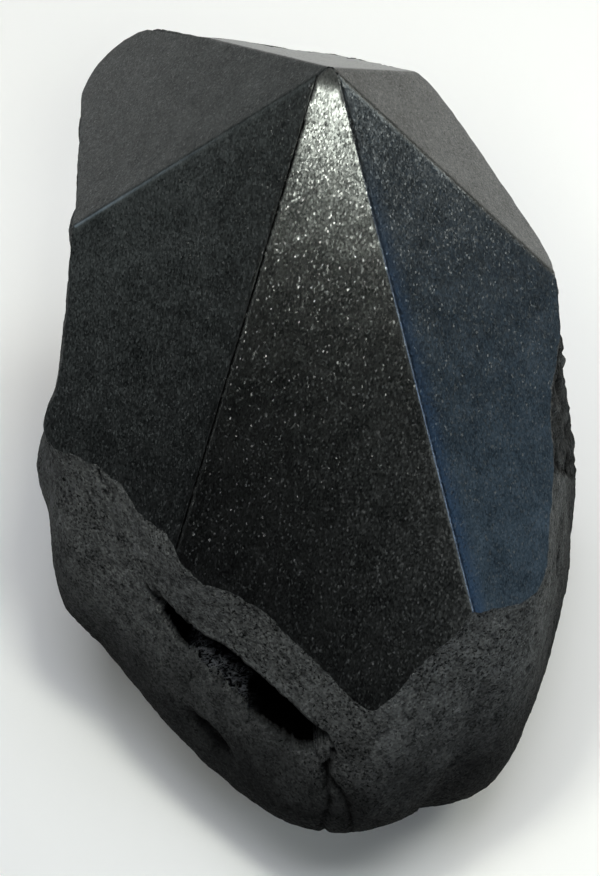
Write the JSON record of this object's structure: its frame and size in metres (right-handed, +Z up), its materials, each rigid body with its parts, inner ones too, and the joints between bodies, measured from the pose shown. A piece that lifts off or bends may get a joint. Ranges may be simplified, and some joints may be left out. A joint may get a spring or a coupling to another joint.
{
  "type": "half-ground hematite stone",
  "caption": "Rough dark hematite chunk whose upper part is ground to flat facets meeting in a blunt point; stands on a small flat foot as a display stone.",
  "frame": {"origin": "middle of the stone's outline in plan, on the surface it stands on", "axes": "+Z up through the point, -Y towards the broken front with the gash, +X to the stone's right seen from the front"},
  "size_m": [0.0572, 0.0778, 0.0697],
  "materials": {
    "hematite": "steel-black specular hematite: ground facets half-matt with fine bright grain, broken skin rough, granular and greyer, gashes black"
  },
  "bodies": {
    "root": {"hematite_stone": "hematite"}
  },
  "joints": []
}
